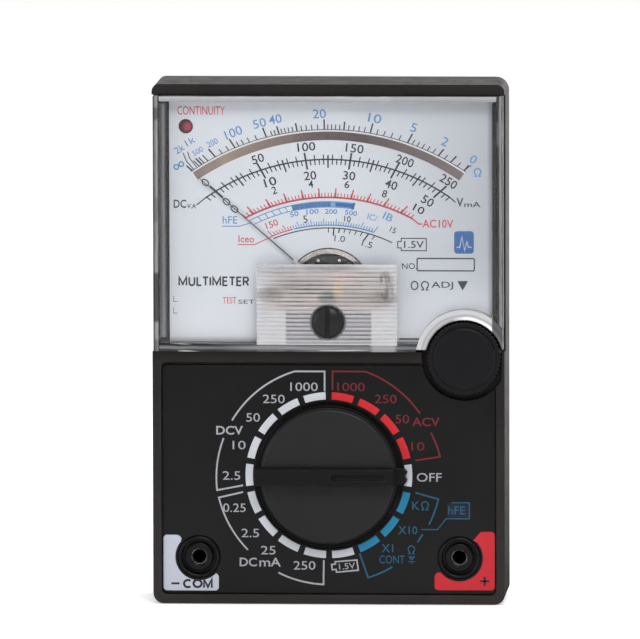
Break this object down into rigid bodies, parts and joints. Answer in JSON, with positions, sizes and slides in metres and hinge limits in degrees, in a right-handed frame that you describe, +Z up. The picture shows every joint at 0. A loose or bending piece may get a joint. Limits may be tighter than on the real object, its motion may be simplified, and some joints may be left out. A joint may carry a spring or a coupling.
{
  "type": "analog multimeter",
  "caption": "Hand-held analog multimeter: black case, clear window over a moving-coil scale, rotary range switch, zero-ohm knob and paired plug sockets.",
  "frame": {"origin": "centre of the bounding box's bottom face, on the flat lower end of the case", "axes": "+Z up the case towards the meter window, -Y out of the face towards the user, +X to the user's right"},
  "size_m": [0.1, 0.035, 0.148],
  "materials": {
    "case_black": "fine-textured moulded black ABS",
    "panel_black": "satin black printed panel",
    "clear_cover": "clear moulded polystyrene, polished",
    "dial_white": "matte off-white enamel on thin aluminium",
    "mirror_band": "mirror foil",
    "knob_black": "satin moulded black plastic",
    "socket_black": "semi-gloss black nylon",
    "bright_metal": "nickel plated",
    "screw_steel": "zinc-plated steel",
    "brass": "plain brass",
    "red_lens": "translucent red epoxy",
    "board": "phenolic laminate",
    "resistor_body": "lacquered",
    "black_epoxy": "moulded epoxy",
    "blue_plastic": "moulded blue plastic",
    "dark_sleeve": "shrink sleeve",
    "clear_glass": "clear glass tube",
    "brown_phenolic": "phenolic",
    "cell_jacket": "printed film jacket",
    "wire_red": "PVC insulation",
    "wire_black": "PVC insulation",
    "wire_yellow": "PVC insulation",
    "magnet_dark": "sintered magnet",
    "iron": "soft iron",
    "frame_black": "moulded phenolic",
    "aluminium": "thin sheet",
    "copper_wire": "enamelled copper winding",
    "pointer_black": "matte black painted aluminium",
    "rotor_white": "moulded acetal",
    "contact_bronze": "spring bronze"
  },
  "bodies": {
    "root": {"front_case": "case_black", "panel_plate": "panel_black", "meter_cover": "clear_cover", "scale_plate": "dial_white", "mirror_strip": "mirror_band", "scale_plate_screws": "screw_steel", "screw_insert": "brass", "jack_bodies": "socket_black", "jack_sleeves": "bright_metal", "jack_nuts": "screw_steel", "led_lens": "red_lens", "led_leads": "screw_steel", "circuit_board": "board", "board_screws": "screw_steel", "resistors": "resistor_body", "diodes": "black_epoxy", "capacitor": "dark_sleeve", "trimmer": "blue_plastic", "fuse_tube": "clear_glass", "fuse_caps": "bright_metal", "fuse_clips": "contact_bronze", "potentiometer_body": "brown_phenolic", "cells": "cell_jacket", "battery_tray": "frame_black", "battery_plates": "contact_bronze", "battery_springs": "bright_metal", "battery_lead_red": "wire_red", "battery_lead_black": "wire_black", "meter_leads": "wire_yellow", "magnets": "magnet_dark", "pole_pieces": "iron", "soft_core": "iron", "core_bracket": "frame_black", "movement_yoke": "iron", "movement_bezel": "bright_metal", "pointer_guard": "frame_black", "guard_rivets": "bright_metal", "rear_bridge": "brass", "front_bridge": "brass", "jewel_screws": "brass", "movement_frame": "frame_black", "movement_screws": "screw_steel"},
    "range_switch": {"range_knob": "knob_black", "switch_rotor": "rotor_white", "rotor_contacts": "contact_bronze", "detent_ball": "screw_steel", "detent_spring": "screw_steel", "rotor_screw": "screw_steel"},
    "ohm_adjuster": {"ohm_adjust_knob": "knob_black", "potentiometer_shaft": "rotor_white"},
    "zero_screw": {"zero_adjust_screw": "knob_black"},
    "zero_arm": {"zero_lever": "aluminium"},
    "moving_coil": {"coil_former": "aluminium", "coil_winding": "copper_wire", "coil_pivots": "screw_steel", "pointer": "pointer_black", "balance_weight": "brass", "hairsprings": "contact_bronze"},
    "back": {"rear_case": "case_black", "rear_case_screw": "screw_steel"}
  },
  "joints": [
    {"name": "range_select", "type": "hinge", "parent": "root", "child": "range_switch", "pos_m": [0, 0, 0.0367], "axis": [0, 1, 0], "continuous": true},
    {"name": "ohm_zero_adjust", "type": "hinge", "parent": "root", "child": "ohm_adjuster", "pos_m": [0.0386, 0, 0.0703], "axis": [0, 1, 0], "range_deg": [-135, 135]},
    {"name": "zero_screw_turn", "type": "hinge", "parent": "root", "child": "zero_screw", "pos_m": [0, 0, 0.0806], "axis": [0, 1, 0], "range_deg": [-60, 60]},
    {"name": "zero_arm_swing", "type": "hinge", "parent": "root", "child": "zero_arm", "pos_m": [0, 0, 0.0893], "axis": [0, 1, 0], "range_deg": [-6.9, 6.9]},
    {"name": "pointer_swing", "type": "hinge", "parent": "zero_arm", "child": "moving_coil", "pos_m": [0, 0, 0.0893], "axis": [0, 1, 0], "range_deg": [-2, 98], "stiffness_Nm_per_rad": 0.0002},
    {"name": "back_lift_off", "type": "slide", "parent": "root", "child": "back", "axis": [0, 1, 0], "range_m": [0, 0.045]}
  ],
  "couplings": [
    {"joint": "zero_arm_swing", "follows": "zero_screw_turn", "ratio": 0.115}
  ]
}
